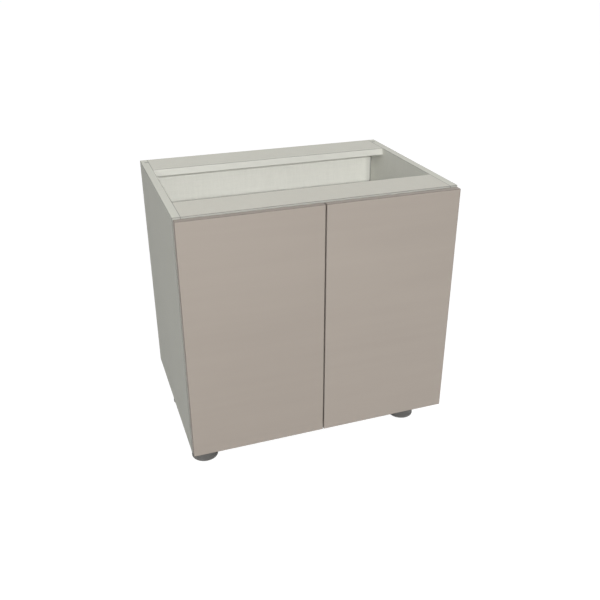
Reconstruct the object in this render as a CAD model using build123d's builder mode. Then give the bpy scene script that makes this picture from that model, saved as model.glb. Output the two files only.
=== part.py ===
from build123d import *
import math
import os

# Sink base cabinet: an open-topped carcass of 22 mm board on four adjustable legs, closed in front
# by a pair of plain doors on concealed hinges. X runs to the right seen from the front, the front
# faces -Y, and Z is up. The origin lies on the floor in the middle of the footprint, doors included.
# All sizes are in millimetres.

# ---------------------------------------------------------------- driving dimensions

# Carcass
CARCASS_WIDTH = 800.0
CARCASS_HEIGHT = 720.0
CARCASS_DEPTH = 560.0
BOARD = 22.0                    # sides, bottom and rails
RAIL_WIDTH = 120.0              # top rails, laid flat
BAND = 1.0                      # edge band on the boards' visible edges
BAND_ROUNDING = 0.6
BACK_THICKNESS = 8.0
BACK_INSET = 30.0               # from the rear edges of the sides to the back panel's front face
GROOVE_DEPTH = 8.0
GROOVE_CLEARANCE = 0.15         # on each face of the back panel
GROOVE_END_GAP = 0.5            # between the back panel's edge and the groove's floor

# Dowels and cam fittings of the board joints
DOWEL_RADIUS = 4.0
DOWEL_LENGTH = 30.0
DOWEL_IN_SIDE = 11.5
DOWEL_CHAMFER = 0.8
BORE_CLEARANCE = 0.05           # round fasteners in their bores
BORE_END_GAP = 0.5
RAIL_DOWEL_PITCH = 48.0
BOTTOM_DOWEL_FROM_FRONT = 30.0
BOTTOM_DOWEL_FROM_REAR = 60.0
BOTTOM_CAM_FROM_FRONT = 62.0
BOTTOM_CAM_FROM_REAR = 190.0
CAM_RADIUS = 7.45
CAM_COVER = 0.6                 # over the bolt's channel in the cam
CAM_SETBACK = 34.0              # cam centre from the joint
CAM_SLOT_LENGTH = 9.0
CAM_SLOT_WIDTH = 1.6
CAM_SLOT_DEPTH = 1.5
CAM_BOLT_THREAD_RADIUS = 2.5
CAM_BOLT_THREAD_LENGTH = 10.5
CAM_BOLT_NECK_RADIUS = 2.2
CAM_BOLT_HEAD_RADIUS = 3.2
CAM_BOLT_HEAD_LENGTH = 4.0
CAM_BOLT_CLEARANCE = 0.2

# Doors
DOOR_THICKNESS = 19.0
DOOR_STANDOFF = 3.0             # door's rear face in front of the carcass
DOOR_SIDE_REVEAL = 1.5
DOOR_CENTRE_GAP = 3.0
DOOR_TOP_REVEAL = 4.0
DOOR_BOTTOM_REVEAL = 0.0
DOOR_EDGE_RADIUS = 1.0
BUMPER_RADIUS = 4.0
BUMPER_HEIGHT = 1.2
BUMPER_ROUNDING = 0.5
BUMPER_FROM_FREE_EDGE = 40.0

# Concealed hinges. Cup sizes run from the door's hinge edge and rear face, arm sizes from the side's
# inner face and the carcass front.
HINGE_FROM_DOOR_END = 100.0
CUP_RADIUS = 17.5
CUP_FROM_EDGE = 4.0             # between the door's edge and the cup's bore
CUP_BORE_DEPTH = 13.5
CUP_WALL = 0.8
CUP_FLOOR_GAP = 0.1
CUP_FLANGE_OVERHANG = 0.4
CUP_FLANGE_THICKNESS = 0.8
CUP_SCREW_PITCH = 48.0
CUP_SCREW_OFFSET = 6.0          # from the cup's centre, away from the hinge edge
CUP_WING_WIDTH = 12.0
CUP_WING_END = 5.5              # from the screw to the wing's tip
CUP_WING_CORNER = 3.0
CUP_PIN_FROM_EDGE = 8.5
CUP_PIN_DEPTH = 8.75
CUP_PIN_RADIUS = 1.2
CUP_PIN_PLAY = 0.9              # room for the small drift of the link's pin in the lugs
CUP_LUG_WALL = 1.0
CUP_LUG_THICKNESS = 2.0
LINK_HALF_WIDTH = 4.0
LINK_HALF_THICKNESS = 1.0
LINK_SIDE_GAP = 0.6             # between the link and the arm's cheeks or the cup's lugs
LINK_TAIL_RADIUS = 3.5
LINK_NOSE_RADIUS = 2.2
LINK_NOSE_AT_REST = (0.1, 0.35)          # cup pin beside the lugs' axis while the door is closed
LINK_NECK_FROM_ARM_PIN = (-4.3, -7.9)
LINK_HEEL_ABOVE_FLOOR = 1.7
ARM_PIN_HEIGHT = 17.7
ARM_PIN_SETBACK = 11.5
ARM_PIN_RADIUS = 1.5
ARM_SHEET = 1.5
ARM_SEAT_HEIGHT = 8.0           # underside of the arm's seat above the side's inner face
ARM_LENGTH = 62.0               # rear end behind the carcass front
ARM_SEAT_START = 26.0
ARM_CRANK_END = 16.0
ARM_NOSE_START = 6.0
ARM_NOSE_TOP = 23.2             # middle of the sheet over the arm pin
ARM_NOSE_BOTTOM = 12.5
ARM_CHEEK_BOTTOM = 3.0
ARM_SCREW_POSITIONS = (37.0, 52.0)
PLATE_THICKNESS = 2.0
PLATE_WING_SPAN = 52.0
PLATE_WING_WIDTH = 17.0
PLATE_AXIS = 37.0               # system line behind the carcass front
PLATE_SCREW_PITCH = 32.0
PLATE_BAR_START = 25.0
PLATE_BAR_WIDTH = 18.0
PLATE_BLOCK_START = 28.0
PLATE_BLOCK_GAP = 0.2           # between the block and the arm's cheeks
PLATE_CORNER = 4.0

# Push-to-open latches
LATCH_FROM_CENTRE = 34.0
LATCH_SETBACK = 6.0             # housing behind the carcass front
LATCH_LENGTH = 74.0
LATCH_WIDTH = 14.0
LATCH_HEIGHT = 13.0
LATCH_ROUNDING = 1.5
LATCH_EAR_LENGTH = 12.0
LATCH_EAR_SPAN = 42.0
LATCH_EAR_THICKNESS = 2.5
LATCH_SCREW_SPREAD = 30.0
LATCH_BORE_LENGTH = 64.0
PLUNGER_RADIUS = 4.0
PLUNGER_LENGTH = 60.0
PLUNGER_ROUNDING = 1.0
PLUNGER_CLEARANCE = 0.3
STRIKE_RADIUS = 7.0
STRIKE_THICKNESS = 0.8
STRIKE_GAP = 0.3

# Legs
LEG_HEIGHT = 115.0
LEG_FROM_SIDE = 59.5            # leg axis from the carcass's outer faces
LEG_FROM_FRONT = 129.0
LEG_FROM_REAR = 113.0
FOOT_RADIUS = 41.0
FOOT_RIM = 6.0
FOOT_SHOULDER_DROP = 1.5
FOOT_SHOULDER_WIDTH = 3.0
FOOT_CROWN_HEIGHT = 15.0
FOOT_CROWN_RADIUS = 17.0
SPINDLE_RADIUS = 12.0
SPINDLE_TOP = 86.0              # above the floor
SPINDLE_CLEARANCE = 0.3
THREAD_PITCH = 4.0
THREAD_DEPTH = 1.2
THREAD_START = 3.0              # above the foot's crown
TUBE_RADIUS = 19.0
TUBE_FLUTE_RADIUS = 1.6
TUBE_FLUTES = 16
TUBE_BOTTOM = 40.0              # above the floor
TUBE_CAP = 3.0
COLLAR_RADIUS = 23.0
COLLAR_HEIGHT = 6.0
PLUG_RADIUS = 16.5
SOCKET_PLATE_SIZE = 66.0
SOCKET_PLATE_THICKNESS = 4.0
SOCKET_PLATE_CORNER = 9.0
SOCKET_WALL = 3.0
SOCKET_DEPTH = 22.0
SOCKET_CLEARANCE = 0.1
SOCKET_SCREW_PITCH = 48.0

# Screws
HINGE_PLATE_SCREW = {"head_radius": 3.9, "head_height": 1.8, "shank_radius": 2.4, "length": 13.0}
HINGE_CUP_SCREW = {"head_radius": 3.4, "head_height": 1.2, "shank_radius": 1.7, "length": 11.0}
HINGE_ARM_SCREW = {"head_radius": 3.2, "head_height": 1.6, "shank_radius": 1.7, "length": 7.0}
SOCKET_SCREW = {"head_radius": 3.7, "head_height": 2.0, "shank_radius": 1.9, "length": 15.0}
LATCH_SCREW = {"head_radius": 2.9, "head_height": 1.5, "shank_radius": 1.4, "length": 12.0}
SCREW_TIP = 2.5
SCREW_CROWN_SHARE = 0.75        # flat top of the head as a share of its radius
SCREW_BEVEL_SHARE = 0.45        # bevelled rim as a share of the head's height
SCREW_RECESS_WIDTH = 0.9
SCREW_RECESS_DEPTH = 0.8

# ---------------------------------------------------------------- positions that follow from them

OVERALL_DEPTH = CARCASS_DEPTH + DOOR_STANDOFF + DOOR_THICKNESS
door_front_y = -OVERALL_DEPTH / 2
door_rear_y = door_front_y + DOOR_THICKNESS
front_y = door_rear_y + DOOR_STANDOFF
rear_y = front_y + CARCASS_DEPTH
back_y = rear_y - BACK_INSET
side_x = CARCASS_WIDTH / 2
inner_x = side_x - BOARD
bottom_z = LEG_HEIGHT
bottom_top_z = bottom_z + BOARD
top_z = bottom_z + CARCASS_HEIGHT
rail_under_z = top_z - BOARD
front_rail_y = front_y + RAIL_WIDTH / 2
rear_rail_y = rear_y - RAIL_WIDTH / 2

door_outer_x = -side_x + DOOR_SIDE_REVEAL          # hinge edge of the left door
door_free_x = -DOOR_CENTRE_GAP / 2
door_bottom_z = bottom_z + DOOR_BOTTOM_REVEAL
door_top_z = top_z - DOOR_TOP_REVEAL
hinge_heights = (door_bottom_z + HINGE_FROM_DOOR_END, door_top_z - HINGE_FROM_DOOR_END)

# Dowels and cam bolts as (y, z) in the joint between a side and the board that meets it
rail_z = top_z - BOARD / 2
floor_z = bottom_z + BOARD / 2
front_rail_dowels = [(front_rail_y + step * RAIL_DOWEL_PITCH / 2, rail_z) for step in (-1, 1)]
rear_rail_dowels = [(rear_rail_y + step * RAIL_DOWEL_PITCH / 2, rail_z) for step in (-1, 1)]
bottom_dowels = [
    (front_y + BOTTOM_DOWEL_FROM_FRONT, floor_z),
    ((front_y + rear_y) / 2, floor_z),
    (rear_y - BOTTOM_DOWEL_FROM_REAR, floor_z),
]
front_rail_cams = [(front_rail_y, rail_z)]
rear_rail_cams = [(rear_rail_y, rail_z)]
bottom_cams = [(front_y + BOTTOM_CAM_FROM_FRONT, floor_z), (rear_y - BOTTOM_CAM_FROM_REAR, floor_z)]
all_dowels = front_rail_dowels + rear_rail_dowels + bottom_dowels
all_cams = front_rail_cams + rear_rail_cams + bottom_cams
cam_channel = CAM_BOLT_HEAD_RADIUS + CAM_BOLT_CLEARANCE
cam_height = BOARD / 2 + cam_channel + CAM_COVER

# Left hinge in plan: cup, pins and the link's two bends
cup_x = door_outer_x + CUP_FROM_EDGE + CUP_RADIUS
cup_floor_y = door_rear_y - CUP_BORE_DEPTH + CUP_FLOOR_GAP + CUP_WALL
lug_pin = (door_outer_x + CUP_PIN_FROM_EDGE, door_rear_y - CUP_PIN_DEPTH)
link_nose = (lug_pin[0] + LINK_NOSE_AT_REST[0], lug_pin[1] + LINK_NOSE_AT_REST[1])
link_heel = (cup_x, cup_floor_y + LINK_HEEL_ABOVE_FLOOR)
arm_pin = (-inner_x + ARM_PIN_HEIGHT, front_y + ARM_PIN_SETBACK)
link_neck = (arm_pin[0] + LINK_NECK_FROM_ARM_PIN[0], arm_pin[1] + LINK_NECK_FROM_ARM_PIN[1])
cup_screw_x = cup_x + CUP_SCREW_OFFSET
link_gap_half = LINK_HALF_WIDTH + LINK_SIDE_GAP    # half the room between cheeks, and between lugs
arm_half = link_gap_half + ARM_SHEET

# Latches and legs
latch_x = -LATCH_FROM_CENTRE
latch_z = rail_under_z - LATCH_HEIGHT / 2
latch_y = (front_y + LATCH_SETBACK, front_y + LATCH_SETBACK + LATCH_LENGTH)
latch_screw_y = (latch_y[0] + latch_y[1]) / 2
plunger_tip_y = door_rear_y + STRIKE_THICKNESS + STRIKE_GAP
leg_x = side_x - LEG_FROM_SIDE
leg_spots = {
    "front_left": (-leg_x, front_y + LEG_FROM_FRONT),
    "front_right": (leg_x, front_y + LEG_FROM_FRONT),
    "rear_left": (-leg_x, rear_y - LEG_FROM_REAR),
    "rear_right": (leg_x, rear_y - LEG_FROM_REAR),
}
socket_z = bottom_z - SOCKET_DEPTH                 # lower rim of the sockets
socket_bore = PLUG_RADIUS + SOCKET_CLEARANCE

os.makedirs("parts", exist_ok=True)

# ---------------------------------------------------------------- shapes used more than once


def block(x_span, y_span, z_span, mode=Mode.ADD):
    """Rectangular block between three pairs of limits."""
    spans = (x_span, y_span, z_span)
    middle = tuple((low + high) / 2 for low, high in spans)
    with Locations(middle):
        Box(*(high - low for low, high in spans), mode=mode)


def rods(starts, direction, radius, length, mode=Mode.ADD):
    """Round rods or bores of one size that start at the given points and run the same way."""
    with Locations(*[Plane(origin=start, z_dir=direction) for start in starts]):
        Cylinder(radius, length, align=(Align.CENTER, Align.CENTER, Align.MIN), mode=mode)


def copies(piece, points, z_dir):
    """One piece at several points, its own Z axis turned to z_dir, as a group of solids."""
    with BuildPart() as group:
        with Locations(*[Plane(origin=point, z_dir=z_dir) for point in points]):
            add(piece)
    return group.part


def joined(*groups):
    """Several groups of solids as one."""
    with BuildPart() as everything:
        for group in groups:
            add(group)
    return everything.part


def mirrored(piece):
    """The right-hand twin of a left-hand piece."""
    with BuildPart() as twin:
        mirror(piece, about=Plane.YZ)
    return twin.part


def save(piece, name):
    """Label a finished piece and write it as its own file."""
    piece.label = name
    export_step(piece, f"parts/{name}.step")


def save_pair(left_piece, name):
    """Write a left-hand piece and its twin on the right."""
    save(left_piece, f"left_{name}")
    save(mirrored(left_piece), f"right_{name}")


def make_screw(head_radius, head_height, shank_radius, length):
    """Pan-head screw with a cross recess, its head above Z = 0 and its shank below."""
    crown_radius = head_radius * SCREW_CROWN_SHARE
    crown_drop = head_height * SCREW_BEVEL_SHARE
    with BuildPart() as screw:
        with BuildSketch(Plane.XZ):
            with BuildLine():
                Polyline(
                    (0, head_height),
                    (crown_radius, head_height),
                    (head_radius, head_height - crown_drop),
                    (head_radius, 0),
                    (shank_radius, 0),
                    (shank_radius, SCREW_TIP - length),
                    (0, -length),
                    close=True,
                )
            make_face()
        revolve(axis=Axis.Z)
        with BuildSketch(Plane.XY.offset(head_height)):
            Rectangle(2 * shank_radius, SCREW_RECESS_WIDTH)
            Rectangle(SCREW_RECESS_WIDTH, 2 * shank_radius)
        extrude(amount=-SCREW_RECESS_DEPTH, mode=Mode.SUBTRACT)
    return screw.part


def bore_for(screw, points, direction, through=0.0):
    """Pilot holes for screws that already pass through another piece of the given thickness."""
    radius = screw["shank_radius"] + BORE_CLEARANCE
    rods(points, direction, radius, screw["length"] - through + BORE_END_GAP, Mode.SUBTRACT)


# ---------------------------------------------------------------- carcass


def joint_points(side, spots, inwards=0.0):
    """Points in the joint with one side (-1 left, +1 right), moved into the cabinet by a distance."""
    return [(side * (inner_x - inwards), y, z) for y, z in spots]


def cam_undersides(side, cams):
    """Where the cams of one side open in the underside of their board."""
    return [(x, y, z - BOARD / 2) for x, y, z in joint_points(side, cams, CAM_SETBACK)]


def bore_board_ends(dowels, cams):
    """Dowel holes, bolt holes and cam bores at both ends of a board that fits between the sides."""
    for side in (-1, 1):
        inwards = (-side, 0, 0)
        dowel_depth = DOWEL_LENGTH - DOWEL_IN_SIDE + BORE_END_GAP
        rods(joint_points(side, dowels), inwards, dowel_bore, dowel_depth, Mode.SUBTRACT)
        rods(joint_points(side, cams), inwards, cam_channel, CAM_SETBACK, Mode.SUBTRACT)
        cam_bore = CAM_RADIUS + BORE_CLEARANCE
        cam_depth = cam_height + BORE_END_GAP
        rods(cam_undersides(side, cams), (0, 0, 1), cam_bore, cam_depth, Mode.SUBTRACT)


def plate_screw_points(z, height=0.0):
    """Screws of one left hinge plate, at a height above the side's inner face."""
    y = front_y + PLATE_AXIS
    return [(-inner_x + height, y, z + step * PLATE_SCREW_PITCH / 2) for step in (-1, 1)]


def socket_screw_points(spot, z):
    """Screws of one leg socket at a given level."""
    reach = SOCKET_SCREW_PITCH / 2
    return [(spot[0] + i * reach, spot[1] + j * reach, z) for i in (-1, 1) for j in (-1, 1)]


def latch_screw_points(z):
    """Screws of the left latch at a given level."""
    return [(latch_x + step * LATCH_SCREW_SPREAD / 2, latch_screw_y, z) for step in (-1, 1)]


def flipped(points):
    """The same points on the other side of the cabinet."""
    return [(-x, y, z) for x, y, z in points]


dowel_bore = DOWEL_RADIUS + BORE_CLEARANCE
back_groove_y = (back_y - GROOVE_CLEARANCE, back_y + BACK_THICKNESS + GROOVE_CLEARANCE)
back_reach_z = (bottom_top_z - GROOVE_DEPTH, rail_under_z + GROOVE_DEPTH)

with BuildPart() as left_side:
    block((-side_x, -inner_x), (front_y + BAND, rear_y), (bottom_z, top_z))
    block((-inner_x - GROOVE_DEPTH, -inner_x), back_groove_y, back_reach_z, Mode.SUBTRACT)
    outwards = (-1, 0, 0)
    dowel_depth = DOWEL_IN_SIDE + BORE_END_GAP
    rods(joint_points(-1, all_dowels), outwards, dowel_bore, dowel_depth, Mode.SUBTRACT)
    thread_bore = CAM_BOLT_THREAD_RADIUS + BORE_CLEARANCE
    thread_depth = CAM_BOLT_THREAD_LENGTH + BORE_END_GAP
    rods(joint_points(-1, all_cams), outwards, thread_bore, thread_depth, Mode.SUBTRACT)
    for hinge_z in hinge_heights:
        bore_for(HINGE_PLATE_SCREW, plate_screw_points(hinge_z), outwards, PLATE_THICKNESS)
save_pair(left_side.part, "side")

with BuildPart() as bottom_panel:
    block((-inner_x, inner_x), (front_y + BAND, rear_y), (bottom_z, bottom_top_z))
    block((-inner_x, inner_x), back_groove_y, (back_reach_z[0], bottom_top_z), Mode.SUBTRACT)
    bore_board_ends(bottom_dowels, bottom_cams)
    for spot in leg_spots.values():
        bore_for(SOCKET_SCREW, socket_screw_points(spot, bottom_z), (0, 0, 1), SOCKET_PLATE_THICKNESS)
save(bottom_panel.part, "bottom_panel")

with BuildPart() as front_rail:
    block((-inner_x, inner_x), (front_y + BAND, front_y + RAIL_WIDTH - BAND), (rail_under_z, top_z))
    bore_board_ends(front_rail_dowels, front_rail_cams)
    under_rail = latch_screw_points(rail_under_z)
    bore_for(LATCH_SCREW, under_rail + flipped(under_rail), (0, 0, 1), LATCH_EAR_THICKNESS)
save(front_rail.part, "front_rail")

with BuildPart() as rear_rail:
    block((-inner_x, inner_x), (rear_y - RAIL_WIDTH + BAND, rear_y), (rail_under_z, top_z))
    block((-inner_x, inner_x), back_groove_y, (rail_under_z, back_reach_z[1]), Mode.SUBTRACT)
    bore_board_ends(rear_rail_dowels, rear_rail_cams)
save(rear_rail.part, "rear_rail")

with BuildPart() as back_panel:
    back_reach_x = inner_x + GROOVE_DEPTH - GROOVE_END_GAP
    back_span_z = (back_reach_z[0] + GROOVE_END_GAP, back_reach_z[1] - GROOVE_END_GAP)
    block((-back_reach_x, back_reach_x), (back_y, back_y + BACK_THICKNESS), back_span_z)
save(back_panel.part, "back_panel")


def make_band(x_span, edge_y, z_span, outwards_y):
    """Edge band with its visible face at edge_y, looking along Y (-1 front, +1 rear)."""
    inner_face = edge_y - outwards_y * BAND
    visible = 0 if outwards_y < 0 else -1
    with BuildPart() as strip:
        block(x_span, sorted((edge_y, inner_face)), z_span)
        fillet(strip.edges().group_by(Axis.Y)[visible], BAND_ROUNDING)
    return strip.part


between_sides = (-inner_x, inner_x)
rail_level = (rail_under_z, top_z)
save_pair(make_band((-side_x, -inner_x), front_y, (bottom_z, top_z), -1), "side_band")
save(make_band(between_sides, front_y, (bottom_z, bottom_top_z), -1), "bottom_band")
save(make_band(between_sides, front_y, rail_level, -1), "front_rail_front_band")
save(make_band(between_sides, front_y + RAIL_WIDTH, rail_level, 1), "front_rail_rear_band")
save(make_band(between_sides, rear_y - RAIL_WIDTH, rail_level, -1), "rear_rail_band")

with BuildPart() as dowels:
    for side in (-1, 1):
        dowel_starts = joint_points(side, all_dowels, -DOWEL_IN_SIDE)
        rods(dowel_starts, (-side, 0, 0), DOWEL_RADIUS, DOWEL_LENGTH)
    chamfer(dowels.edges().filter_by(GeomType.CIRCLE), DOWEL_CHAMFER)
save(dowels.part, "dowels")

with BuildPart() as cam_bolts:
    for side in (-1, 1):
        rods(joint_points(side, all_cams), (side, 0, 0), CAM_BOLT_THREAD_RADIUS, CAM_BOLT_THREAD_LENGTH)
        rods(joint_points(side, all_cams), (-side, 0, 0), CAM_BOLT_NECK_RADIUS, CAM_SETBACK)
        head_starts = joint_points(side, all_cams, CAM_SETBACK - CAM_BOLT_HEAD_LENGTH / 2)
        rods(head_starts, (-side, 0, 0), CAM_BOLT_HEAD_RADIUS, CAM_BOLT_HEAD_LENGTH)
save(cam_bolts.part, "cam_bolts")

with BuildPart() as cam_locks:
    for side in (-1, 1):
        undersides = cam_undersides(side, all_cams)
        rods(undersides, (0, 0, 1), CAM_RADIUS, cam_height)
        channel_starts = joint_points(side, all_cams, CAM_SETBACK + CAM_BOLT_HEAD_LENGTH)
        rods(channel_starts, (side, 0, 0), cam_channel, 2 * CAM_RADIUS, Mode.SUBTRACT)
        with Locations(*undersides):
            Box(CAM_SLOT_LENGTH, CAM_SLOT_WIDTH, 2 * CAM_SLOT_DEPTH, mode=Mode.SUBTRACT)
            Box(CAM_SLOT_WIDTH, CAM_SLOT_LENGTH, 2 * CAM_SLOT_DEPTH, mode=Mode.SUBTRACT)
save(cam_locks.part, "cam_locks")

# ---------------------------------------------------------------- doors


def cup_screw_points(z, depth=0.0):
    """Screws of one left hinge cup, at a height above the door's rear face."""
    return [(cup_screw_x, door_rear_y + depth, z + step * CUP_SCREW_PITCH / 2) for step in (-1, 1)]


with BuildPart() as left_door:
    block((door_outer_x, door_free_x), (door_front_y, door_rear_y), (door_bottom_z, door_top_z))
    fillet(left_door.edges(), DOOR_EDGE_RADIUS)
    into_door = (0, -1, 0)
    for hinge_z in hinge_heights:
        rods([(cup_x, door_rear_y, hinge_z)], into_door, CUP_RADIUS, CUP_BORE_DEPTH, Mode.SUBTRACT)
        bore_for(HINGE_CUP_SCREW, cup_screw_points(hinge_z), into_door, CUP_FLANGE_THICKNESS)
save_pair(left_door.part, "door")

bumper_x = door_free_x - BUMPER_FROM_FREE_EDGE
with BuildPart() as left_bumpers:
    bumper_heights = (floor_z, rail_z - DOOR_TOP_REVEAL)
    bumper_points = [(bumper_x, door_rear_y, z) for z in bumper_heights]
    rods(bumper_points, (0, 1, 0), BUMPER_RADIUS, BUMPER_HEIGHT)
    domes = left_bumpers.edges().filter_by(GeomType.CIRCLE).group_by(Axis.Y)[-1]
    fillet(domes, BUMPER_ROUNDING)
save_pair(left_bumpers.part, "door_bumpers")

with BuildPart() as left_strike:
    rods([(latch_x, door_rear_y, latch_z)], (0, 1, 0), STRIKE_RADIUS, STRIKE_THICKNESS)
save_pair(left_strike.part, "strike_plate")

# ---------------------------------------------------------------- hinges


def arm_point(height, setback):
    """Point in plan: height above the left side's inner face, distance behind the front."""
    return (-inner_x + height, front_y + setback)


def arm_screw_points(z, height):
    """Screws of one left hinge arm, at a height above the side's inner face."""
    return [(*arm_point(height, setback), z) for setback in ARM_SCREW_POSITIONS]


def make_hinge_plate(z):
    """Mounting plate: a cross on the side's inner face with a block that carries the arm."""
    axis_y = front_y + PLATE_AXIS
    sheet_x = (-inner_x, -inner_x + PLATE_THICKNESS)
    block_half = link_gap_half - PLATE_BLOCK_GAP
    with BuildPart() as plate:
        block(
            sheet_x,
            (axis_y - PLATE_WING_WIDTH / 2, axis_y + PLATE_WING_WIDTH / 2),
            (z - PLATE_WING_SPAN / 2, z + PLATE_WING_SPAN / 2),
        )
        fillet(plate.edges().filter_by(Axis.X), PLATE_CORNER)
        bar_y = (front_y + PLATE_BAR_START, front_y + ARM_LENGTH)
        block(sheet_x, bar_y, (z - PLATE_BAR_WIDTH / 2, z + PLATE_BAR_WIDTH / 2))
        block_y = (front_y + PLATE_BLOCK_START, front_y + ARM_LENGTH)
        block((-inner_x, -inner_x + ARM_SEAT_HEIGHT), block_y, (z - block_half, z + block_half))
        plate_hole = HINGE_PLATE_SCREW["shank_radius"] + BORE_CLEARANCE
        rods(plate_screw_points(z), (1, 0, 0), plate_hole, PLATE_THICKNESS, Mode.SUBTRACT)
        bore_for(HINGE_ARM_SCREW, arm_screw_points(z, ARM_SEAT_HEIGHT), (-1, 0, 0), ARM_SHEET)
    return plate.part


def make_hinge_arm(z):
    """Cranked channel: a sheet with two cheeks that hold the link between them."""
    seat = ARM_SEAT_HEIGHT + ARM_SHEET / 2
    spine = [
        arm_point(seat, ARM_LENGTH),
        arm_point(seat, ARM_SEAT_START),
        arm_point(ARM_NOSE_TOP, ARM_CRANK_END),
        arm_point(ARM_NOSE_TOP, ARM_NOSE_START),
    ]
    lower_edge = [
        arm_point(ARM_NOSE_BOTTOM, ARM_NOSE_START),
        arm_point(ARM_CHEEK_BOTTOM, PLATE_BLOCK_START),
        arm_point(ARM_CHEEK_BOTTOM, ARM_LENGTH),
    ]
    with BuildPart() as arm:
        with BuildSketch(Plane.XY.offset(z - arm_half)):
            with BuildLine():
                Polyline(*spine)
            trace(line_width=ARM_SHEET)
        extrude(amount=2 * arm_half)
        with BuildSketch(Plane.XY.offset(z - arm_half), Plane.XY.offset(z + link_gap_half)):
            with BuildLine():
                Polyline(*spine, *lower_edge, close=True)
            make_face()
        extrude(amount=ARM_SHEET)
        pin_bore = ARM_PIN_RADIUS + BORE_CLEARANCE
        rods([(*arm_pin, z - arm_half)], (0, 0, 1), pin_bore, 2 * arm_half, Mode.SUBTRACT)
        screw_hole = HINGE_ARM_SCREW["shank_radius"] + BORE_CLEARANCE
        rods(arm_screw_points(z, ARM_SEAT_HEIGHT), (1, 0, 0), screw_hole, ARM_SHEET, Mode.SUBTRACT)
    return arm.part


def make_hinge_link(z):
    """Gooseneck link from the arm pin, over the door's edge and into the cup."""
    bends = [arm_pin, link_neck, link_heel, link_nose]
    with BuildPart() as link:
        with BuildSketch(Plane.XY.offset(z - LINK_HALF_WIDTH)):
            for start, end in zip(bends, bends[1:]):
                run = Vector(*end) - Vector(*start)
                slope = math.degrees(math.atan2(run.Y, run.X))
                with Locations(Vector(*start) + run / 2):
                    SlotCenterToCenter(run.length, 2 * LINK_HALF_THICKNESS, rotation=slope)
            with Locations(arm_pin):
                Circle(LINK_TAIL_RADIUS)
                Circle(ARM_PIN_RADIUS + BORE_CLEARANCE, mode=Mode.SUBTRACT)
            with Locations(link_nose):
                Circle(LINK_NOSE_RADIUS)
                Circle(CUP_PIN_RADIUS + BORE_CLEARANCE, mode=Mode.SUBTRACT)
        extrude(amount=2 * LINK_HALF_WIDTH)
    return link.part


def make_hinge_cup(z):
    """Cup sunk in the door, with a flange on the door's rear face and two lugs for the link's pin."""
    shell_radius = CUP_RADIUS - BORE_CLEARANCE
    shell_depth = CUP_BORE_DEPTH - CUP_FLOOR_GAP
    wing_reach = CUP_SCREW_PITCH / 2 + CUP_WING_END
    mouth_y = door_rear_y + CUP_FLANGE_THICKNESS
    lug_hole = CUP_PIN_RADIUS + CUP_PIN_PLAY
    lug_half = lug_hole + CUP_LUG_WALL
    with BuildPart() as lugs:
        for low in (-link_gap_half - CUP_LUG_THICKNESS, link_gap_half):
            block(
                (lug_pin[0] - lug_half, lug_pin[0] + lug_half),
                (cup_floor_y, lug_pin[1] + lug_half),
                (z + low, z + low + CUP_LUG_THICKNESS),
            )
        rods([(cup_x, door_rear_y, z)], (0, -1, 0), shell_radius, shell_depth, Mode.INTERSECT)
    with BuildPart() as cup:
        block(
            (cup_screw_x - CUP_WING_WIDTH / 2, cup_screw_x + CUP_WING_WIDTH / 2),
            (door_rear_y, mouth_y),
            (z - wing_reach, z + wing_reach),
        )
        fillet(cup.edges().filter_by(Axis.Y), CUP_WING_CORNER)
        rods([(cup_x, mouth_y, z)], (0, -1, 0), CUP_RADIUS + CUP_FLANGE_OVERHANG, CUP_FLANGE_THICKNESS)
        rods([(cup_x, door_rear_y, z)], (0, -1, 0), shell_radius, shell_depth)
        hollow_depth = mouth_y - cup_floor_y
        rods([(cup_x, mouth_y, z)], (0, -1, 0), shell_radius - CUP_WALL, hollow_depth, Mode.SUBTRACT)
        add(lugs.part)
        lug_reach = link_gap_half + CUP_LUG_THICKNESS
        rods([(*lug_pin, z - lug_reach)], (0, 0, 1), lug_hole, 2 * lug_reach, Mode.SUBTRACT)
        wing_hole = HINGE_CUP_SCREW["shank_radius"] + BORE_CLEARANCE
        rods(cup_screw_points(z), (0, 1, 0), wing_hole, CUP_FLANGE_THICKNESS, Mode.SUBTRACT)
    return cup.part


for level, hinge_z in zip(("lower", "upper"), hinge_heights):
    save_pair(make_hinge_plate(hinge_z), f"{level}_hinge_plate")
    save_pair(make_hinge_arm(hinge_z), f"{level}_hinge_arm")
    save_pair(make_hinge_link(hinge_z), f"{level}_hinge_link")
    save_pair(make_hinge_cup(hinge_z), f"{level}_hinge_cup")

with BuildPart() as left_arm_pins:
    rods([(*arm_pin, z - arm_half) for z in hinge_heights], (0, 0, 1), ARM_PIN_RADIUS, 2 * arm_half)
save(joined(left_arm_pins.part, mirrored(left_arm_pins.part)), "hinge_arm_pins")

with BuildPart() as left_cup_pins:
    pin_half = link_gap_half + CUP_LUG_THICKNESS
    rods([(*link_nose, z - pin_half) for z in hinge_heights], (0, 0, 1), CUP_PIN_RADIUS, 2 * pin_half)
save_pair(left_cup_pins.part, "hinge_cup_pins")

plate_screw = make_screw(**HINGE_PLATE_SCREW)
arm_screw = make_screw(**HINGE_ARM_SCREW)
cup_screw = make_screw(**HINGE_CUP_SCREW)
plate_points = [point for z in hinge_heights for point in plate_screw_points(z, PLATE_THICKNESS)]
arm_top = ARM_SEAT_HEIGHT + ARM_SHEET
arm_points = [point for z in hinge_heights for point in arm_screw_points(z, arm_top)]
cup_points = [point for z in hinge_heights for point in cup_screw_points(z, CUP_FLANGE_THICKNESS)]
left_plate_screws = copies(plate_screw, plate_points, (1, 0, 0))
left_arm_screws = copies(arm_screw, arm_points, (1, 0, 0))
save(joined(left_plate_screws, mirrored(left_plate_screws)), "hinge_plate_screws")
save(joined(left_arm_screws, mirrored(left_arm_screws)), "hinge_arm_screws")
save_pair(copies(cup_screw, cup_points, (0, 1, 0)), "hinge_cup_screws")

# ---------------------------------------------------------------- latches

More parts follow.
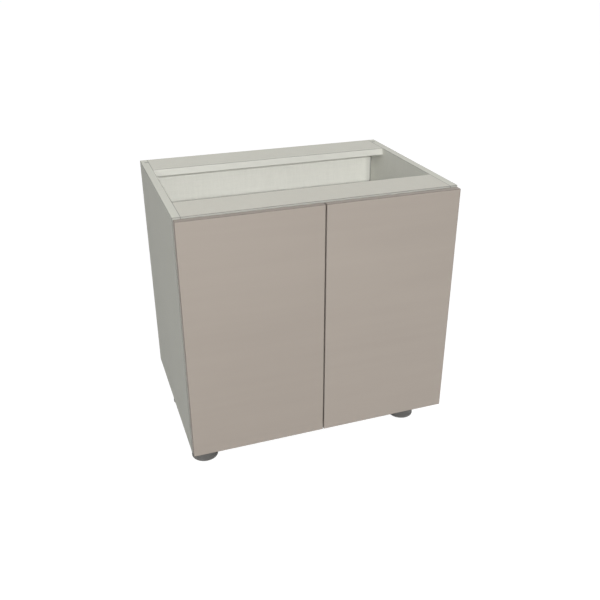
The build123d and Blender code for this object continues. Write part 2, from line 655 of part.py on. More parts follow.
with BuildPart() as left_latch:
    ear_top = rail_under_z
    ear_low = rail_under_z - LATCH_EAR_THICKNESS
    block(
        (latch_x - LATCH_WIDTH / 2, latch_x + LATCH_WIDTH / 2),
        latch_y,
        (rail_under_z - LATCH_HEIGHT, rail_under_z),
    )
    fillet(left_latch.edges().filter_by(Axis.Y).group_by(Axis.Z)[0], LATCH_ROUNDING)
    block(
        (latch_x - LATCH_EAR_SPAN / 2, latch_x + LATCH_EAR_SPAN / 2),
        (latch_screw_y - LATCH_EAR_LENGTH / 2, latch_screw_y + LATCH_EAR_LENGTH / 2),
        (ear_low, ear_top),
    )
    plunger_bore = PLUNGER_RADIUS + PLUNGER_CLEARANCE
    rods([(latch_x, latch_y[0], latch_z)], (0, 1, 0), plunger_bore, LATCH_BORE_LENGTH, Mode.SUBTRACT)
    ear_hole = LATCH_SCREW["shank_radius"] + BORE_CLEARANCE
    rods(latch_screw_points(ear_low), (0, 0, 1), ear_hole, LATCH_EAR_THICKNESS, Mode.SUBTRACT)
save_pair(left_latch.part, "latch_housing")

with BuildPart() as left_plunger:
    rods([(latch_x, plunger_tip_y, latch_z)], (0, 1, 0), PLUNGER_RADIUS, PLUNGER_LENGTH)
    fillet(left_plunger.edges().filter_by(GeomType.CIRCLE).group_by(Axis.Y)[0], PLUNGER_ROUNDING)
save_pair(left_plunger.part, "latch_plunger")

latch_screw = make_screw(**LATCH_SCREW)
left_latch_screws = copies(latch_screw, latch_screw_points(ear_low), (0, 0, -1))
save(joined(left_latch_screws, mirrored(left_latch_screws)), "latch_screws")

# ---------------------------------------------------------------- legs


def make_leg_tube(spot):
    """Fluted tube whose plug sits in the socket and whose bore takes the foot's spindle."""
    with BuildPart() as tube:
        with BuildSketch(Plane.XY.offset(TUBE_BOTTOM)):
            with Locations(spot):
                Circle(TUBE_RADIUS)
                with PolarLocations(TUBE_RADIUS, TUBE_FLUTES):
                    Circle(TUBE_FLUTE_RADIUS, mode=Mode.SUBTRACT)
        extrude(amount=socket_z - TUBE_BOTTOM)
        rods([(*spot, TUBE_BOTTOM)], (0, 0, 1), COLLAR_RADIUS, COLLAR_HEIGHT)
        rods([(*spot, socket_z)], (0, 0, 1), PLUG_RADIUS, SOCKET_DEPTH - SOCKET_PLATE_THICKNESS)
        bore_top = bottom_z - SOCKET_PLATE_THICKNESS - TUBE_CAP
        spindle_bore = SPINDLE_RADIUS + SPINDLE_CLEARANCE
        rods([(*spot, TUBE_BOTTOM)], (0, 0, 1), spindle_bore, bore_top - TUBE_BOTTOM, Mode.SUBTRACT)
    return tube.part


def make_foot(spot):
    """Round foot with a raised crown and a ringed spindle, turned about its own axis."""
    thread_length = SPINDLE_TOP - FOOT_CROWN_HEIGHT - 2 * THREAD_START
    thread = []
    for turn in range(int(thread_length / THREAD_PITCH)):
        root_z = FOOT_CROWN_HEIGHT + THREAD_START + turn * THREAD_PITCH
        thread.append((SPINDLE_RADIUS, root_z))
        thread.append((SPINDLE_RADIUS - THREAD_DEPTH, root_z + THREAD_PITCH / 4))
        thread.append((SPINDLE_RADIUS, root_z + THREAD_PITCH / 2))
    with BuildPart() as foot:
        with BuildSketch(Plane.XZ):
            with BuildLine():
                Polyline(
                    (0, 0),
                    (FOOT_RADIUS - FOOT_SHOULDER_DROP, 0),
                    (FOOT_RADIUS, FOOT_SHOULDER_DROP),
                    (FOOT_RADIUS, FOOT_RIM - FOOT_SHOULDER_DROP),
                    (FOOT_RADIUS - FOOT_SHOULDER_WIDTH, FOOT_RIM),
                    (FOOT_CROWN_RADIUS, FOOT_CROWN_HEIGHT),
                    (SPINDLE_RADIUS, FOOT_CROWN_HEIGHT),
                    *thread,
                    (SPINDLE_RADIUS, SPINDLE_TOP),
                    (0, SPINDLE_TOP),
                    close=True,
                )
            make_face()
        revolve(axis=Axis.Z)
    return copies(foot.part, [(*spot, 0)], (0, 0, 1))


with BuildPart() as leg_sockets:
    spots = list(leg_spots.values())
    with BuildSketch(Plane.XY.offset(bottom_z - SOCKET_PLATE_THICKNESS)):
        with Locations(*spots):
            RectangleRounded(SOCKET_PLATE_SIZE, SOCKET_PLATE_SIZE, SOCKET_PLATE_CORNER)
    extrude(amount=SOCKET_PLATE_THICKNESS)
    rims = [(*spot, socket_z) for spot in spots]
    socket_length = SOCKET_DEPTH - SOCKET_PLATE_THICKNESS
    rods(rims, (0, 0, 1), socket_bore + SOCKET_WALL, socket_length)
    rods(rims, (0, 0, 1), socket_bore, socket_length, Mode.SUBTRACT)
    for spot in spots:
        plate_low = bottom_z - SOCKET_PLATE_THICKNESS
        socket_hole = SOCKET_SCREW["shank_radius"] + BORE_CLEARANCE
        holes = socket_screw_points(spot, plate_low)
        rods(holes, (0, 0, 1), socket_hole, SOCKET_PLATE_THICKNESS, Mode.SUBTRACT)
save(leg_sockets.part, "leg_sockets")

for name, spot in leg_spots.items():
    save(make_leg_tube(spot), f"{name}_leg_tube")
    save(make_foot(spot), f"{name}_foot")

socket_screw = make_screw(**SOCKET_SCREW)
socket_points = [point for spot in leg_spots.values() for point in socket_screw_points(spot, plate_low)]
save(copies(socket_screw, socket_points, (0, 0, -1)), "leg_socket_screws")
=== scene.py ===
import math
import re

import bpy
from mathutils import Matrix, Vector


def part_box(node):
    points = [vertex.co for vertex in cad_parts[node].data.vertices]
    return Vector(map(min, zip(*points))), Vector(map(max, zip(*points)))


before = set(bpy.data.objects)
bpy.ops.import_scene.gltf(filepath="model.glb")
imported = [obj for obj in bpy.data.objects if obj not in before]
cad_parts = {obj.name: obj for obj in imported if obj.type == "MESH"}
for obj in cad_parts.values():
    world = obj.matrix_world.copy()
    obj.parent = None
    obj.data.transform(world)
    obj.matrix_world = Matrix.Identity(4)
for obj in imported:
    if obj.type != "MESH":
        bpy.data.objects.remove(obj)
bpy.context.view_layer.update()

# Sink base cabinet: grey boards with a woven face, plain matt doors, metal hinges and plastic feet.
# Lengths are in metres, angles in degrees and colours in 8-bit sRGB. X runs to the right, the front
# looks to -Y and the feet stand on z = 0.

# ---------------------------------------------------------------- colours

BOARD_GREY = (210, 209, 199)            # bottom panel and rear rail
FRONT_RAIL_GREY = (206, 204, 194)
LEFT_GREY = (204, 204, 194)             # the right side is a little lighter: painted light that makes up for the shade on its inner face
RIGHT_GREY = (208, 208, 199)
SIDE_TOP_GREY = (210, 210, 200)         # upper edges of both sides
BACK_GREY = (203, 203, 195)
BAND_GREY = (196, 196, 188)             # bands that look into the open top
SHADED_FRONT_BAND_GREY = (165, 165, 158)       # bands behind the doors, painted darker for the shade that falls there
LEFT_TAUPE = (153, 144, 135)            # the right door is a little lighter: painted light that makes up for the lamps lighting it less
RIGHT_TAUPE = (156, 147, 138)
CHIP_LIGHT = (222, 194, 152)
CHIP_DARK = (158, 122, 82)
NICKEL = (212, 209, 205)
ZINC = (205, 208, 212)
CAST_ZINC = (158, 159, 162)
FOOT_GREY = (98, 97, 95)
LEG_GREY = (84, 84, 83)
LATCH_GREY = (158, 158, 155)
PLUNGER_GREY = (92, 92, 92)
PAD_GREY = (206, 206, 200)
BEECH_LIGHT = (222, 190, 140)
BEECH_DARK = (188, 146, 96)

# ---------------------------------------------------------------- marks and painted shade on the surfaces

THREAD = 0.0011                         # width of one thread of the woven face
THREAD_TONES = (0.965, 1.02)            # between two threads and on the crown of a thread
FINE_SLUB = (0.030, 0.0030)             # length and width of a thread's thicker stretches
COARSE_SLUB = (0.120, 0.0090)
SIDE_CONTRAST = 0.030                   # how far the slubs lighten and darken a board
RAIL_CONTRAST = 0.022
BACK_CONTRAST = 0.045
CHIP_SCALE = 420.0                      # chips to a metre of a sawn chipboard edge

# Width of a darker line of painted shade, and the share of the colour that is left in its middle
BOARD_ARRIS = (0.0016, 0.45)
DOOR_ARRIS = (0.0023, 0.42)
BAND_ARRIS = (0.0018, 0.48)
CORNER_SHADE = (0.029, 0.80)             # painted shade in a broad margin of the back panel
CORNER_SHADE_LINE = (0.0042, 0.55)            # painted shade line on the back panel where it meets its neighbours
SEAM_SHADE = (0.0080, 0.50)              # painted shade on the sides where they meet the back panel

GROOVE_REACH = 0.0075                   # how far the back panel goes into its groove
BACK_PANEL_FRONT = 0.261                # y of the back panel's front face
INNER_REACH = 0.390                     # between a side's inner and outer faces, from the middle
TOWARDS = 0.7                           # a face looks along an axis if its normal reaches this far
NOISE_SPAN = (0.3, 0.7)                 # holds nearly all values of a noise
WIDE_NOISE_SPAN = (0.25, 0.75)

# ---------------------------------------------------------------- light and camera

# The head lamp stands at the camera's place, so its shadows hide behind what casts them.
HEAD_STRENGTH = 1.52
HEAD_RADIUS = 0.03
KEY_STRENGTH = 1.45
KEY_AZIMUTH = -3.0                      # round from the front to the right, so a little to the left
KEY_ELEVATION = 18.3                    # low enough to reach the back panel between the two rails
KEY_SPREAD = 2.0
REAR_STRENGTH = 2.50
REAR_AZIMUTH = 140.0
REAR_ELEVATION = 8.0
REAR_SPREAD = 40.0
TOP_POWER = 6.3
TOP_SIZE = 3.0
TOP_PLACE = (-0.6, -0.8, 3.0)
TOP_AIM = (-0.6, -0.8, 0.0)
LEFT_POWER = 14.9
LEFT_SIZE = 1.5
LEFT_PLACE = (-2.4, -1.6, 2.2)
LEFT_AIM = (-0.4, 0.0, 0.6)
SKY_STRENGTH = 0.262
FLOOR_DIFFUSE = (124, 124, 124)
FLOOR_GLOW = 0.90
FLOOR_RADIUS = 30.0
FLOOR_STEPS = 96

CAMERA_PLACE = (-0.6444, -1.9322, 1.4290)
CAMERA_YAW = 19.168                     # to the right of straight ahead
CAMERA_PITCH = 26.406                   # downwards
CAMERA_ROLL = -0.196
FOCAL_PIXELS = 709.1
PICTURE_PIXELS = 600.0
SENSOR_MM = 36.0


def linear(colour):
    """8-bit sRGB to scene-linear red, green, blue and alpha."""
    shares = [channel / 255 for channel in colour]
    return [s / 12.92 if s <= 0.04045 else ((s + 0.055) / 1.055) ** 2.4 for s in shares] + [1.0]


def towards(azimuth, elevation):
    """Direction by its angle round from the front (-Y) to the right and its angle upwards."""
    a, e = math.radians(azimuth), math.radians(elevation)
    return Vector((math.sin(a) * math.cos(e), -math.cos(a) * math.cos(e), math.sin(e)))


class Finish:
    """One material in the making: its methods add nodes and give back an output of the last one."""

    def __init__(self, name):
        self.material = bpy.data.materials.new(name)
        self.material.use_nodes = True
        self.tree = self.material.node_tree
        self.tree.nodes.clear()

    def node(self, kind, inputs=None, **settings):
        """Node with its settings, and with each input linked to a socket or set to a constant."""
        made = self.tree.nodes.new(kind)
        for key, value in settings.items():
            setattr(made, key, value)
        for socket, value in (inputs or {}).items():
            if isinstance(value, bpy.types.NodeSocket):
                self.tree.links.new(value, made.inputs[socket])
            else:
                made.inputs[socket].default_value = value
        return made

    # Numbers

    def math(self, operation, *values):
        return self.node("ShaderNodeMath", dict(enumerate(values)), operation=operation).outputs[0]

    def times(self, product, *others):
        """Product of two or more values."""
        for other in others:
            product = self.math("MULTIPLY", product, other)
        return product

    def weighted(self, *terms):
        """Sum of values, each times its weight."""
        total = 0.0
        for value, weight in terms:
            total = self.math("MULTIPLY_ADD", value, weight, total)
        return total

    def between(self, share, low, high):
        """Number that lies a share of the way from low to high."""
        return self.math("MULTIPLY_ADD", share, self.math("SUBTRACT", high, low), low)

    def ramp(self, value, low, high, to_low=0.0, to_high=1.0):
        """Carries a range of values smoothly over to another range."""
        inputs = {0: value, 1: low, 2: high, 3: to_low, 4: to_high}
        return self.node("ShaderNodeMapRange", inputs, interpolation_type="SMOOTHSTEP").outputs[0]

    def vary(self, noise, low, high, span=NOISE_SPAN):
        """Spreads a noise over the range from low to high."""
        return self.ramp(noise, *span, low, high)

    def marked(self, mask, tone):
        """1 off the mask and the tone on it."""
        return self.ramp(mask, 0.0, 1.0, 1.0, tone)

    # Colours

    def blend(self, share, first, second):
        inputs = {0: share, 6: first, 7: second}
        return self.node("ShaderNodeMix", inputs, data_type="RGBA").outputs[2]

    def shade(self, colour, tone):
        """Colour made lighter or darker by the tone."""
        start = colour if isinstance(colour, bpy.types.NodeSocket) else colour[:3]
        return self.node("ShaderNodeVectorMath", {0: start, 3: tone}, operation="SCALE").outputs[0]

    # Places

    def split(self, vector):
        return self.node("ShaderNodeSeparateXYZ", {0: vector}).outputs

    def flat(self, u, v):
        """Two lengths as a place on a plane."""
        return self.node("ShaderNodeCombineXYZ", {0: u, 1: v}).outputs[0]

    def place(self):
        return self.node("ShaderNodeTexCoord").outputs["Object"]

    def normal(self):
        return self.node("ShaderNodeTexCoord").outputs["Normal"]

    def face(self):
        """Place on a board's face as two lengths, whichever way the face looks."""
        x, y, z = self.split(self.place())
        nx, _, nz = self.split(self.normal())
        looks_x = self.math("GREATER_THAN", self.math("ABSOLUTE", nx), TOWARDS)
        looks_z = self.math("GREATER_THAN", self.math("ABSOLUTE", nz), TOWARDS)
        return self.between(looks_x, x, y), self.between(looks_z, z, y)

    # Marks

    def noise(self, place, size, detail=2.0, rough=0.5, seed=0.0):
        """Soft random value whose marks are about the given size, one length or three."""
        sizes = size if isinstance(size, tuple) else (size, size, size)
        inputs = {0: place, 1: tuple(1 / s for s in sizes), 2: (seed, seed, seed)}
        scaled = self.node("ShaderNodeVectorMath", inputs, operation="MULTIPLY_ADD").outputs[0]
        inputs = {"Vector": scaled, "Scale": 1.0, "Detail": detail, "Roughness": rough}
        return self.node("ShaderNodeTexNoise", inputs).outputs[0]

    def spots(self, place, size, seed, start, full):
        """1 in scattered spots, where a noise passes from start to full, and 0 around them."""
        return self.ramp(self.noise(place, size, seed=seed), start, full)

    def painted_arris_shade(self, node, width, tone, inset=0.0):
        """Painted shade: the tone on the arrises of a node's box, or that far inside them, and 1
        off the line.
        """
        low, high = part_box(node)
        gaps = []
        for axis, along in enumerate(self.split(self.place())):
            from_low = self.math("SUBTRACT", along, low[axis])
            from_high = self.math("SUBTRACT", high[axis], along)
            gaps.append(self.math("MINIMUM", from_low, from_high))
        nearer = self.math("MINIMUM", gaps[0], gaps[1])
        farther = self.math("MAXIMUM", gaps[0], gaps[1])
        from_arris = self.math("MAXIMUM", nearer, self.math("MINIMUM", farther, gaps[2]))
        return self.marked(self.ramp(from_arris, inset, inset + width, 1.0, 0.0), tone)

    # The shader

    def relief(self, height, depth):
        """Normal of a surface whose height runs from 0 to 1 over the given depth."""
        inputs = {"Strength": 1.0, "Distance": depth, "Height": height}
        return self.node("ShaderNodeBump", inputs).outputs[0]

    def surface(self, colour, roughness, relief, **constants):
        """Joins the colour, roughness and relief into the material's surface."""
        inputs = {"Base Color": colour, "Roughness": roughness, "Normal": relief}
        inputs |= {name.replace("_", " "): value for name, value in constants.items()}
        shader = self.node("ShaderNodeBsdfPrincipled", inputs)
        self.node("ShaderNodeOutputMaterial", {"Surface": shader.outputs[0]})
        return self.material


# ---------------------------------------------------------------- boards, bands and doors


def weave(finish, u, v):
    """Plain weave: threads along v pass over and under threads along u. Gives the height."""
    waves = []
    for along in (u, v):
        turn = finish.math("MULTIPLY", along, math.pi / THREAD)
        waves.append(finish.math("SINE", turn))
    over = finish.math("GREATER_THAN", finish.times(*waves), 0.0)
    rounds = [finish.math("ABSOLUTE", wave) for wave in waves]
    return finish.between(over, *rounds)


def slubs(finish, u, v, size):
    """Thicker stretches of thread that run both ways over the face."""
    length, width = size
    place = finish.flat(u, v)
    across = finish.noise(place, (length, width, 1.0), rough=0.6)
    upwards = finish.noise(place, (width, length, 1.0), rough=0.6, seed=7.3)
    return finish.weighted((across, 0.5), (upwards, 0.5))


def chipboard(finish, place):
    """Colour and height of a sawn chipboard edge, which is rougher than the woven face."""
    inputs = {"Vector": place, "Scale": CHIP_SCALE, "Randomness": 1.0}
    chips = finish.node("ShaderNodeTexVoronoi", inputs)
    tone = finish.split(chips.outputs["Color"])[0]
    dust_and_shade = finish.noise(place, 0.0007, detail=3.0, rough=0.6)
    pick = finish.weighted((tone, 0.6), (dust_and_shade, 0.5))
    colour = finish.blend(pick, linear(CHIP_DARK), linear(CHIP_LIGHT))
    return colour, finish.weighted((tone, 2.4), (dust_and_shade, 4.0))


def seam_shade(finish, place):
    """Painted shade: a dark line on a side's inner face along the groove that holds the back panel.
    """
    width, tone = SEAM_SHADE
    x, y, _ = finish.split(place)
    off = finish.math("ABSOLUTE", finish.math("SUBTRACT", y, BACK_PANEL_FRONT))
    inner = finish.math("LESS_THAN", finish.math("ABSOLUTE", x), INNER_REACH)
    line = finish.math("MULTIPLY", inner, finish.ramp(off, 0.0, width, 1.0 - tone, 0.0))
    return finish.math("SUBTRACT", 1.0, line)


def raw_mask(finish, also_under):
    """1 on the faces that show raw chipboard: the rear edge, and the lower edge where told."""
    _, ny, nz = finish.split(finish.normal())
    raw = finish.math("GREATER_THAN", ny, TOWARDS)
    if also_under:
        raw = finish.math("MAXIMUM", raw, finish.math("LESS_THAN", nz, -TOWARDS))
    return raw


def woven_board(node, grey, contrast, raw_rear=False, is_back=False, is_side=False):
    """Board with a woven melamine face and dark arris lines of painted shade.

    The back panel also has a margin and corner line of painted shade. A side has a line of painted
    shade along the back panel's groove, an upper edge of its own grey and a raw lower edge.
    """
    finish = Finish(f"woven_{node}")
    place = finish.place()
    u, v = finish.face()
    threads = weave(finish, u, v)
    fine = slubs(finish, u, v, FINE_SLUB)
    coarse = slubs(finish, u, v, COARSE_SLUB)
    marks = finish.weighted((fine, 0.6), (coarse, 0.4))
    patches = finish.noise(place, 0.35)
    tone = finish.times(
        finish.vary(marks, 1.0 - contrast, 1.0 + contrast),
        finish.ramp(threads, 0.0, 1.0, *THREAD_TONES),
        finish.vary(patches, 0.99, 1.01),
        finish.painted_arris_shade(node, *BOARD_ARRIS),
    )
    if is_back:
        # Painted shade in the back panel's broad margin and along its corners.
        dust_and_shade = finish.painted_arris_shade(node, *CORNER_SHADE, inset=GROOVE_REACH)
        line = finish.painted_arris_shade(node, *CORNER_SHADE_LINE, inset=GROOVE_REACH)
        tone = finish.times(tone, dust_and_shade, line)
    if is_side:
        # Painted shade along the corner where the side meets the back panel.
        tone = finish.times(tone, seam_shade(finish, place))
    colour = finish.shade(linear(grey), tone)
    height = finish.weighted((threads, 0.6), (fine, 0.4))
    rough = finish.vary(marks, 0.60, 0.70)
    if is_side:
        _, _, nz = finish.split(finish.normal())
        top = finish.math("GREATER_THAN", nz, TOWARDS)
        colour = finish.blend(top, colour, finish.shade(linear(SIDE_TOP_GREY), tone))
    if raw_rear:
        raw = raw_mask(finish, also_under=is_side)
        chips, chip_height = chipboard(finish, place)
        colour = finish.blend(raw, colour, chips)
        height = finish.between(raw, height, chip_height)
        rough = finish.between(raw, rough, 0.85)
    relief = finish.relief(height, depth=0.00006)
    return finish.surface(colour, rough, relief, Specular_IOR_Level=0.3)


def edge_band(node, grey):
    """Thin plastic strip with a faint lengthwise milling and darker lines of painted shade at its
    arrises.
    """
    finish = Finish(f"band_{node}")
    place = finish.place()
    low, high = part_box(node)
    size = high - low
    length, width = 0.050, 0.0008
    streak = (width, width, length) if size.z > size.x else (length, width, width)
    streaks = finish.noise(place, streak, detail=3.0, rough=0.6)
    pores = finish.noise(place, 0.0006, seed=3.1)
    tone = finish.times(
        finish.vary(streaks, 0.985, 1.015),
        finish.painted_arris_shade(node, *BAND_ARRIS),
    )
    return finish.surface(
        finish.shade(linear(grey), tone),
        finish.vary(streaks, 0.42, 0.52),
        finish.relief(finish.weighted((streaks, 0.5), (pores, 0.5)), depth=0.00004),
    )


def matt_door(node, taupe):
    """Plain matt door face: fine pores, faint level bands from rolling and darker arris lines of
    painted shade.
    """
    finish = Finish(f"matt_{node}")
    place = finish.place()
    pores = finish.noise(place, 0.0007, detail=3.0, rough=0.55)
    orange_peel = finish.noise(place, 0.0045, seed=5.7)
    clouds = finish.noise(place, (0.45, 0.45, 0.16), seed=2.2)
    wiped = finish.noise(place, (0.22, 0.22, 0.035), detail=3.0, rough=0.6, seed=9.4)
    rolled = finish.noise(place, (0.90, 0.90, 0.030), seed=4.4)
    tone = finish.times(
        finish.vary(clouds, 0.984, 1.016, WIDE_NOISE_SPAN),
        finish.vary(pores, 0.992, 1.008),
        finish.vary(rolled, 0.990, 1.010, WIDE_NOISE_SPAN),
        finish.painted_arris_shade(node, *DOOR_ARRIS),
    )
    return finish.surface(
        finish.shade(linear(taupe), tone),
        finish.vary(wiped, 0.52, 0.62),
        finish.relief(finish.weighted((pores, 0.45), (orange_peel, 0.55)), depth=0.00005),
    )


# ---------------------------------------------------------------- metal, plastic, rubber, wood


def plated_metal(name, colour, roughness, grain, dulling):
    """Plated steel with fine drawn lines, faint clouding and a few dull spots."""
    finish = Finish(name)
    place = finish.place()
    lines = finish.noise(place, grain)
    clouds = finish.noise(place, 0.009, seed=4.0)
    dull = finish.spots(place, 0.0030, seed=8.0, start=0.62, full=0.74)
    tone = finish.times(finish.vary(clouds, 0.94, 1.03), finish.marked(dull, 1.0 - dulling))
    drawn = finish.vary(lines, roughness - 0.04, roughness + 0.05)
    return finish.surface(
        finish.shade(linear(colour), tone),
        finish.weighted((drawn, 1.0), (dull, 0.10)),
        finish.relief(lines, depth=0.000004),
        Metallic=1.0,
    )


def cast_metal(name, colour):
    """Dull die-cast zinc with a grainy skin."""
    finish = Finish(name)
    place = finish.place()
    grains = finish.noise(place, 0.0005, detail=3.0, rough=0.65)
    clouds = finish.noise(place, 0.005, seed=2.0)
    tone = finish.times(finish.vary(grains, 0.88, 1.06), finish.vary(clouds, 0.93, 1.05))
    return finish.surface(
        finish.shade(linear(colour), tone),
        finish.vary(grains, 0.42, 0.60),
        finish.relief(grains, depth=0.00006),
        Metallic=0.9,
    )


def moulded_plastic(name, colour, roughness, grain, contrast):
    """Injection-moulded plastic: spark-eroded grain, soft flow marks and light scuffs."""
    finish = Finish(name)
    place = finish.place()
    sparks = finish.noise(place, grain, detail=3.0, rough=0.6)
    flow = finish.noise(place, (0.012, 0.012, 0.020), detail=3.0, rough=0.55, seed=6.1)
    scuffs = finish.spots(place, (0.0012, 0.007, 0.0012), seed=3.7, start=0.64, full=0.76)
    clean = finish.times(
        finish.vary(flow, 1.0 - contrast, 1.0 + contrast),
        finish.vary(sparks, 0.96, 1.05),
    )
    eroded = finish.vary(sparks, roughness - 0.05, roughness + 0.05)
    return finish.surface(
        finish.shade(linear(colour), finish.weighted((clean, 1.0), (scuffs, 0.10))),
        finish.weighted((eroded, 1.0), (scuffs, 0.08)),
        finish.relief(sparks, depth=0.00007),
    )


def soft_pad(name, colour):
    """Pale bumper rubber with a dusty bloom."""
    finish = Finish(name)
    bloom = finish.noise(finish.place(), 0.0012, detail=3.0, rough=0.6)
    return finish.surface(
        finish.shade(linear(colour), finish.vary(bloom, 0.94, 1.03)),
        finish.vary(bloom, 0.55, 0.75),
        finish.relief(bloom, depth=0.00003),
        IOR=1.41,
    )


def beech_wood(name):
    """Turned beech with short dark flecks along the grain."""
    finish = Finish(name)
    place = finish.place()
    grain = finish.noise(place, (0.020, 0.0009, 0.0009), detail=4.0, rough=0.6)
    flecks = finish.spots(place, (0.0020, 0.0004, 0.0004), seed=5.0, start=0.60, full=0.72)
    wood = finish.blend(finish.ramp(grain, 0.35, 0.65), linear(BEECH_DARK), linear(BEECH_LIGHT))
    return finish.surface(
        finish.shade(wood, finish.marked(flecks, 0.78)),
        finish.vary(grain, 0.60, 0.75),
        finish.relief(grain, depth=0.00006),
    )


# ---------------------------------------------------------------- the finish of each node


def side_board(node, grey):
    return woven_board(node, grey, SIDE_CONTRAST, raw_rear=True, is_side=True)


nickel = plated_metal("nickel_plate", NICKEL, 0.25, grain=(0.0004, 0.0080, 0.0004), dulling=0.06)
zinc = plated_metal("zinc_plate", ZINC, 0.34, grain=0.0009, dulling=0.14)
cast = cast_metal("cast_zinc", CAST_ZINC)
foot_plastic = moulded_plastic("foot_plastic", FOOT_GREY, 0.58, grain=0.00050, contrast=0.045)
leg_plastic = moulded_plastic("leg_plastic", LEG_GREY, 0.52, grain=0.00045, contrast=0.05)
latch_plastic = moulded_plastic("latch_plastic", LATCH_GREY, 0.48, grain=0.00040, contrast=0.03)
plunger_plastic = moulded_plastic(
    "plunger_plastic", PLUNGER_GREY, 0.40, grain=0.00035, contrast=0.03
)
pad = soft_pad("bumper_pad", PAD_GREY)
beech = beech_wood("dowel_beech")

# A node's whole name is matched against these from the top. Each gives a material that many
# nodes share, or a function that makes the node's own.
FINISH_OF = {
    r"left_side": lambda node: side_board(node, LEFT_GREY),
    r"right_side": lambda node: side_board(node, RIGHT_GREY),
    r"front_rail": lambda node: woven_board(node, FRONT_RAIL_GREY, RAIL_CONTRAST),
    r"bottom_panel|rear_rail": lambda node: woven_board(
        node, BOARD_GREY, RAIL_CONTRAST, raw_rear=True
    ),
    r"back_panel": lambda node: woven_board(node, BACK_GREY, BACK_CONTRAST, is_back=True),
    # Bands behind the doors take a darker grey of painted shade.
    r"(.*_side|bottom|front_rail_front)_band": lambda node: edge_band(node, SHADED_FRONT_BAND_GREY),
    r".*_band": lambda node: edge_band(node, BAND_GREY),
    r"left_door": lambda node: matt_door(node, LEFT_TAUPE),
    r"right_door": lambda node: matt_door(node, RIGHT_TAUPE),
    r".*_hinge_(plate|arm|link|cup)": nickel,
    r".*(screws|pins|bolts|strike_plate)": zinc,
    r"cam_locks": cast,
    r"dowels": beech,
    r".*_bumpers": pad,
    r".*_latch_housing": latch_plastic,
    r".*_latch_plunger": plunger_plastic,
    r".*_foot": foot_plastic,
    r".*_leg_tube|leg_sockets": leg_plastic,
}


def finish_for(node):
    found = next(kind for pattern, kind in FINISH_OF.items() if re.fullmatch(pattern, node))
    return found(node) if callable(found) else found


for node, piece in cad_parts.items():
    material = finish_for(node)
    for slot in piece.material_slots:
        slot.material = material

# ---------------------------------------------------------------- floor, sky, lamps and camera


def seen_directly(tree):
    """1 for what the camera sees straight, mirrored or through glass, 0 for stray light."""
    path = tree.nodes.new("ShaderNodeLightPath")
    seen = path.outputs["Is Camera Ray"]
    for kind in ("Is Glossy Ray", "Is Transmission Ray"):
        either = tree.nodes.new("ShaderNodeMath")
        either.operation = "MAXIMUM"
        tree.links.new(seen, either.inputs[0])
        tree.links.new(path.outputs[kind], either.inputs[1])
        seen = either.outputs[0]
    return seen


def add_floor():
    """Pale round floor that shows white and keeps the cabinet's soft shadow."""
    rim = []
    for step in range(FLOOR_STEPS):
        turn = 2 * math.pi * step / FLOOR_STEPS
        rim.append((FLOOR_RADIUS * math.cos(turn), FLOOR_RADIUS * math.sin(turn), 0.0))
    mesh = bpy.data.meshes.new("floor")
    mesh.from_pydata(rim, [], [tuple(range(FLOOR_STEPS))])
    floor = bpy.data.objects.new("floor", mesh)
    bpy.context.scene.collection.objects.link(floor)
    finish = Finish("floor")
    glow = finish.math("MULTIPLY", seen_directly(finish.tree), FLOOR_GLOW)
    matt = finish.node("ShaderNodeBsdfDiffuse", {"Color": linear(FLOOR_DIFFUSE)})
    lit = finish.node("ShaderNodeEmission", {"Strength": glow})
    both = finish.node("ShaderNodeAddShader", {0: matt.outputs[0], 1: lit.outputs[0]})
    finish.node("ShaderNodeOutputMaterial", {"Surface": both.outputs[0]})
    mesh.materials.append(finish.material)


def add_sky():
    """Even white sky, dimmer for the light that it sends than for how it looks."""
    world = bpy.data.worlds.new("sky")
    world.use_nodes = True
    tree = world.node_tree
    background = tree.nodes["Background"]
    strength = tree.nodes.new("ShaderNodeMapRange")
    strength.inputs["To Min"].default_value = SKY_STRENGTH
    strength.inputs["To Max"].default_value = 1.0
    tree.links.new(seen_directly(tree), strength.inputs["Value"])
    background.inputs["Color"].default_value = (1.0, 1.0, 1.0, 1.0)
    tree.links.new(strength.outputs[0], background.inputs["Strength"])
    bpy.context.scene.world = world


def add_lamp(name, data, placed):
    lamp = bpy.data.objects.new(name, data)
    lamp.matrix_world = placed
    bpy.context.scene.collection.objects.link(lamp)
    return lamp


def turned_to(direction):
    """Matrix that turns a lamp so that its back, its own Z, looks in a direction."""
    return direction.to_track_quat("Z", "Y").to_matrix().to_4x4()


def add_sun(name, azimuth, elevation, strength, spread):
    data = bpy.data.lights.new(name, "SUN")
    data.energy = strength
    data.angle = math.radians(spread)
    return add_lamp(name, data, turned_to(towards(azimuth, elevation)))


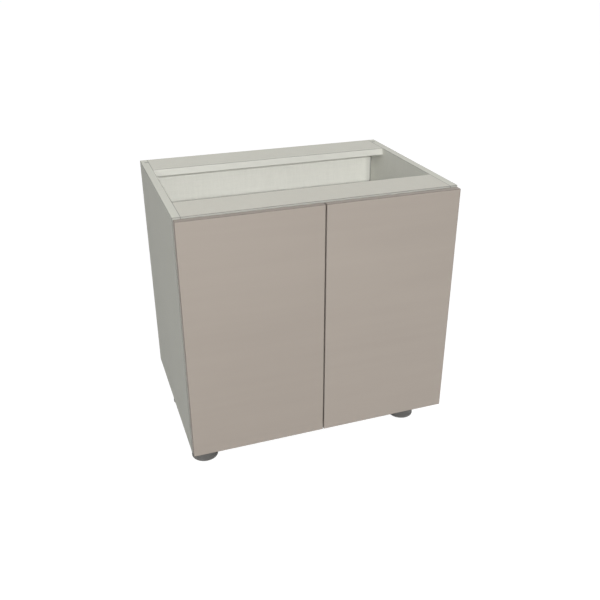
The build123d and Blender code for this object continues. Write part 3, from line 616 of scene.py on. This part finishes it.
def add_even_lamp(name, place, strength, radius):
    """Lamp that lights near and far faces alike, as strong as a sun of the same strength."""
    data = bpy.data.lights.new(name, "POINT")
    data.energy = 4 * math.pi * strength
    data.shadow_soft_size = radius
    data.use_nodes = True
    tree = data.node_tree
    falloff = tree.nodes.new("ShaderNodeLightFalloff")
    falloff.inputs["Strength"].default_value = 1.0
    tree.links.new(falloff.outputs["Constant"], tree.nodes["Emission"].inputs["Strength"])
    lamp = add_lamp(name, data, Matrix.Translation(place))
    lamp.visible_camera = False


def add_softbox(name, place, aim, size, power):
    """Square softbox that looks from its place towards its aim."""
    data = bpy.data.lights.new(name, "AREA")
    data.shape = "SQUARE"
    data.size = size
    data.energy = power
    turned = turned_to(Vector(place) - Vector(aim))
    softbox = add_lamp(name, data, Matrix.Translation(place) @ turned)
    softbox.visible_camera = False


def add_camera():
    yaw, pitch = math.radians(CAMERA_YAW), math.radians(CAMERA_PITCH)
    level = Vector((math.sin(yaw), math.cos(yaw), 0.0))
    ahead = level * math.cos(pitch) - Vector((0.0, 0.0, math.sin(pitch)))
    right = Vector((math.cos(yaw), -math.sin(yaw), 0.0))
    up = right.cross(ahead)
    rolled = Matrix.Rotation(math.radians(CAMERA_ROLL), 3, "Z")
    axes = Matrix((right, up, -ahead)).transposed() @ rolled
    data = bpy.data.cameras.new("camera")
    data.sensor_width = SENSOR_MM
    data.lens = FOCAL_PIXELS * SENSOR_MM / PICTURE_PIXELS
    camera = bpy.data.objects.new("camera", data)
    camera.matrix_world = Matrix.Translation(CAMERA_PLACE) @ axes.to_4x4()
    bpy.context.scene.collection.objects.link(camera)
    bpy.context.scene.camera = camera


add_floor()
add_sky()
add_softbox("left", LEFT_PLACE, LEFT_AIM, LEFT_SIZE, LEFT_POWER)
add_softbox("top", TOP_PLACE, TOP_AIM, TOP_SIZE, TOP_POWER)
add_sun("key", KEY_AZIMUTH, KEY_ELEVATION, KEY_STRENGTH, KEY_SPREAD)
add_even_lamp("head", CAMERA_PLACE, HEAD_STRENGTH, HEAD_RADIUS)
rear = add_sun("rear", REAR_AZIMUTH, REAR_ELEVATION, REAR_STRENGTH, REAR_SPREAD)
rear.visible_glossy = False             # it fills the far sides, without a sheen on the rails
add_camera()
bpy.context.scene.view_settings.view_transform = "Standard"
